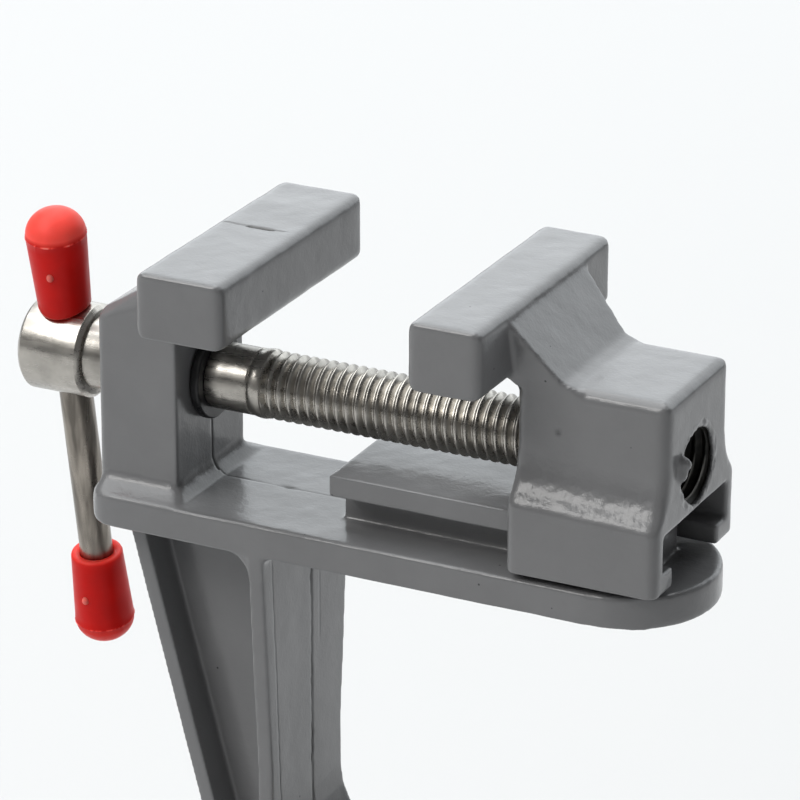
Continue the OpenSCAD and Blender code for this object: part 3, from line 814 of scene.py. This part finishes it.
def cap_profile(crown):
    """A cap's section: bore, mouth wall, flared side, seam ring, crown."""
    rim = CAP_L - CROWN_H
    points = [(0.0, 9.0), (CAP_BORE, 9.0), (CAP_BORE, 0.25), (CAP_BORE + 0.12, 0.05),
              (CAP_MOUTH_R - 0.3, 0.0), (CAP_MOUTH_R - 0.1, 0.06), (CAP_MOUTH_R, 0.3)]
    for i in range(1, 12):
        f = i / 12
        points.append((CAP_MOUTH_R + (CAP_R - CAP_MOUTH_R) * f, 0.3 + (rim - 0.55) * f))
    points += [(CAP_R - 0.01, rim - 0.16), (CAP_R + 0.05, rim - 0.06), (CAP_R + 0.05, rim + 0.04),
               (CAP_R - 0.06, rim + 0.14)]
    for i in range(2, 17):
        a = math.pi / 2 * i / 16
        points.append((max(CAP_R * math.cos(a), 0.0), rim + crown * math.sin(a)))
    return points


def seam_flash(a):
    """How much flash the mould seam at the crown's foot has, between 0 and 1."""
    v = noise.noise(Vector((math.cos(a) * 2.2, math.sin(a) * 2.2, 7.0)))
    return min(max(0.2 + 1.6 * v + noise.noise(Vector((math.cos(a) * 11, math.sin(a) * 11, 2.0))), 0.0), 1.0)


def seam_ripple(a, i):
    return 0.08 * seam_flash(a) - 0.03 if SEAM_FROM <= i <= SEAM_TO else 0.0


def cap(name, node, body_name, place, nub_angle, nub_height, crown=CROWN_H, crown_light=0.6, saddle=0.0):
    """A red cap. Its crown is painted paler by the given amount, as painted light from above, more on the
    upper handle cap than on the lower; saddle is how far its mouth is pressed round the head.
    """
    rim = CAP_L - CROWN_H
    piece = lathe(name, cap_profile(crown), 144, Matrix.Identity(4), red, seam_ripple, 60)
    pale_and_lit = []
    for v in piece.data.vertices:
        p = v.co / MM
        a = math.atan2(p.y, p.x)
        on_seam = abs(p.z - rim) < 0.12 and math.hypot(p.x, p.y) > CAP_R - 0.05
        lit_crown = min(max((p.z - rim - 0.05) / 0.3, 0.0), 1.0) * crown_light
        pale_and_lit.append(max(seam_flash(a) if on_seam else 0.0, lit_crown, 0.3 * max(0.0, 1 - p.z / 0.35)))
        v.co.z -= saddle * MM * math.sin(a) ** 2 * max(0.0, 1 - p.z / 4) ** 2
    r = CAP_MOUTH_R + (CAP_R - CAP_MOUTH_R) * nub_height / rim
    points, faces = blob((r * math.cos(nub_angle), r * math.sin(nub_angle), nub_height), (0.42, 0.42, 0.5))
    nub = mesh_from(name + "_gate", points, faces)
    weld(nub)
    nub.shade_smooth()
    gate = link(name + "_gate", nub, red)
    for item, values in ((piece, pale_and_lit), (gate, [0.8] * len(nub.vertices))):
        layer = item.data.attributes.new("pale_and_lit", "FLOAT", "POINT")
        layer.data.foreach_set("value", values)
        item.data.transform(place)
        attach(item, body_name)
        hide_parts(node)


tilt = at(HANDLE_X, 0, SCREW_Z) @ Matrix.Rotation(math.radians(HANDLE_TILT), 4, "X")
flip = Matrix.Rotation(math.pi, 4, "X")
middle = CAP_SEAT - OPEN_L / 2
upper = tilt @ at(0, 0, middle + OPEN_L / 2)
lower = tilt @ at(0, 0, middle - OPEN_L / 2) @ flip
# The upper handle cap's crown gets much more painted light than the lower one's.
cap("cap_top", "handle_cap_top", "handle", upper, math.radians(-79.5), 5.3, 3.2, 0.62, 0.6)
cap("cap_bottom", "handle_cap_bottom", "handle", lower, math.radians(95), 5.3, 3.0, 0.2)
side_y = at(0, 0, CLAMP_BAR_Z) @ Matrix.Rotation(-math.pi / 2, 4, "X")
cap("cap_right", "clamp_cap_right", "clamp_handle", side_y @ at(0, 0, OPEN_L / 2), 0.5, 6.0)
cap("cap_left", "clamp_cap_left", "clamp_handle", side_y @ at(0, 0, -OPEN_L / 2) @ flip, 2.2, 6.0)

for node, mat in (("handle_bar", nickel_bar), ("clamp_bar", nickel_bar_y), ("clamp_pad", nickel_z)):
    nodes[node].data.materials.clear()
    nodes[node].data.materials.append(mat)

# Clamp screw: head and neck from the CAD solid, and a true helix
clamp_turned = kept(node_copy("clamp_screw", "clamp_screw_turned"), 2, 1, CLAMP_HEAD_Z + 1.0)
clamp = beveled("clamp_screw_turned", clamp_turned, nickel_z, 0.18)
clamp_tip = kept(node_copy("clamp_screw", "clamp_screw_tip"), 2, -1, CLAMP_TIP_Z)
tip = beveled("clamp_screw_tip", clamp_tip, nickel_z, 0.1)
clamp_helix = helix("clamp_screw_thread", CLAMP_THREAD_L, THREAD_R, THREAD_DEPTH, at(0, 0, CLAMP_THREAD_Z),
                    nickel_z, 0.6, 1.0)
for piece in (clamp, tip, clamp_helix):
    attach(piece, "clamp_screw")
    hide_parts("clamp_screw")

# Floor
floor_z = min(p[2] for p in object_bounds()) / MM
floor_corners = [(x * FLOOR_HALF, y * FLOOR_HALF, floor_z) for x, y in ((-1, -1), (1, -1), (1, 1), (-1, 1))]
floor_mesh = mesh_from("floor", floor_corners, [[0, 1, 2, 3]])
floor_mat = bpy.data.materials.new("floor_white")
floor_mat.use_nodes = True
set_inputs(floor_mat.node_tree.nodes["Principled BSDF"], Base_Color=(0.62, 0.62, 0.62, 1), Roughness=0.9)
floor = link("floor", floor_mesh, floor_mat)
floor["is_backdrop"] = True

# Light: a wide panel overhead, a lower one behind, a soft one with a bright core in front, a dim room
world = bpy.data.worlds.new("studio")
bpy.context.scene.world = world
bpy.context.scene.view_settings.view_transform = "Standard"
world.use_nodes = True
world.node_tree.nodes["Background"].inputs["Color"].default_value = (1, 1, 1, 1)
world.node_tree.nodes["Background"].inputs["Strength"].default_value = 0.13


def area_light(name, place, target, size, radiance, color):
    """A panel that shows the given radiance."""
    data = bpy.data.lights.new(name, "AREA")
    data.shape = "RECTANGLE"
    data.size, data.size_y = size
    data.energy = radiance * math.pi * size[0] * size[1]
    data.color = color
    obj = bpy.data.objects.new(name, data)
    bpy.context.scene.collection.objects.link(obj)
    obj.location = place
    obj.rotation_euler = (Vector(target) - Vector(place)).to_track_quat("-Z", "Y").to_euler()


area_light("overhead", (-0.6, 0.3, 2.05), (0, 0, 0), (2.8, 1.8), 3.7, (0.97, 0.99, 1.0))
area_light("behind", (-0.3, 1.9, 0.9), (0, 0, 0.1), (3.8, 1.7), 1.75, (0.92, 0.97, 1.0))
area_light("front", (-0.66, -1.0, 1.07), (0, 0, 0), (1.5, 1.2), 0.8, (1.0, 0.99, 0.97))
area_light("core", (-0.62, -0.94, 1.03), (0, 0, 0), (0.8, 0.5), 6.5, (1.0, 0.99, 0.97))

# Camera: fitted to the photo's straight edges
AZ, EL, ROLL = math.radians(26.402), math.radians(22.159), math.radians(0.143)
right = Vector((math.cos(AZ), math.sin(AZ), 0))
up = Vector((-math.sin(AZ) * math.sin(EL), math.cos(AZ) * math.sin(EL), math.cos(EL)))
back = Vector((math.sin(AZ) * math.cos(EL), -math.cos(AZ) * math.cos(EL), math.sin(EL)))
cam_data = bpy.data.cameras.new("camera")
cam_data.lens = 204.04
cam_data.sensor_width = 36
camera = bpy.data.objects.new("camera", cam_data)
bpy.context.scene.collection.objects.link(camera)
turned_right = right * math.cos(ROLL) + up * math.sin(ROLL)
turned_up = up * math.cos(ROLL) - right * math.sin(ROLL)
matrix = Matrix((turned_right, turned_up, back)).transposed().to_4x4()
matrix.translation = (0.204894, -0.427954, 0.212497)
camera.matrix_world = matrix
bpy.context.scene.camera = camera
